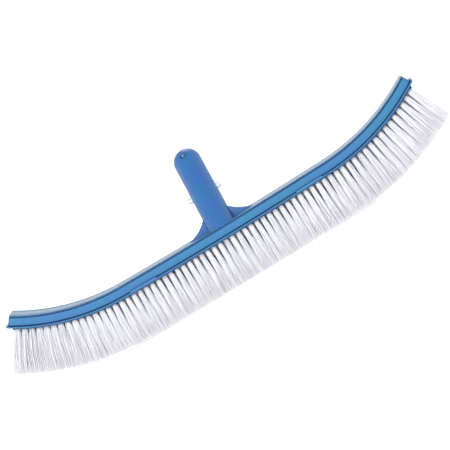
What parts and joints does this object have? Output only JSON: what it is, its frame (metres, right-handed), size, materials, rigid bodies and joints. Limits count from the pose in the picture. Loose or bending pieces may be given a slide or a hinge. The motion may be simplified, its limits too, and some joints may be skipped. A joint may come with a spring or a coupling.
{
  "type": "pool wall brush",
  "caption": "Curved pool wall brush: hollow moulded back with upswept ends, white nylon tufts and a leaning domed handle with a spring clip for a telescopic pole.",
  "frame": {"origin": "on the handle's axis, half way along the pilot that the telescopic pole slides over", "axes": "+X along the brush, +Y the side the handle leans to, +Z away from the bristle tips; the brush stands on its bristle tips"},
  "size_m": [0.487, 0.0843, 0.138],
  "materials": {
    "back_plastic": "satin moulded blue plastic",
    "block_plastic": "teal-blue moulded plastic",
    "handle_plastic": "fine matte blue plastic",
    "clip_nylon": "clear nylon",
    "screw_steel": "plain stainless steel",
    "bristle_nylon": "white nylon filament",
    "anchor_wire": "flat brass wire"
  },
  "bodies": {
    "brush": {"back_shell": "back_plastic", "bristle_block": "block_plastic", "pole_handle": "handle_plastic", "clip_bridge": "clip_nylon", "handle_screws": "screw_steel", "screw_washers": "screw_steel", "tuft_row_1": "bristle_nylon", "tuft_row_2": "bristle_nylon", "tuft_row_3": "bristle_nylon", "tuft_row_4": "bristle_nylon", "tuft_row_5": "bristle_nylon", "tuft_anchors_row_1": "anchor_wire", "tuft_anchors_row_2": "anchor_wire", "tuft_anchors_row_3": "anchor_wire", "tuft_anchors_row_4": "anchor_wire", "tuft_anchors_row_5": "anchor_wire"},
    "left_clip_leg": {"clip_leg_left": "clip_nylon"},
    "right_clip_leg": {"clip_leg_right": "clip_nylon"}
  },
  "joints": [
    {"name": "left_button_press", "type": "hinge", "parent": "brush", "child": "left_clip_leg", "pos_m": [-0.0054, 0.00945, 0.01273], "axis": [0, -0.8028, 0.5962], "range_deg": [0, 6.8], "stiffness_Nm_per_rad": 2.6},
    {"name": "right_button_press", "type": "hinge", "parent": "brush", "child": "right_clip_leg", "pos_m": [0.0054, 0.00945, 0.01273], "axis": [0, 0.8028, -0.5962], "range_deg": [0, 6.8], "stiffness_Nm_per_rad": 2.6}
  ]
}
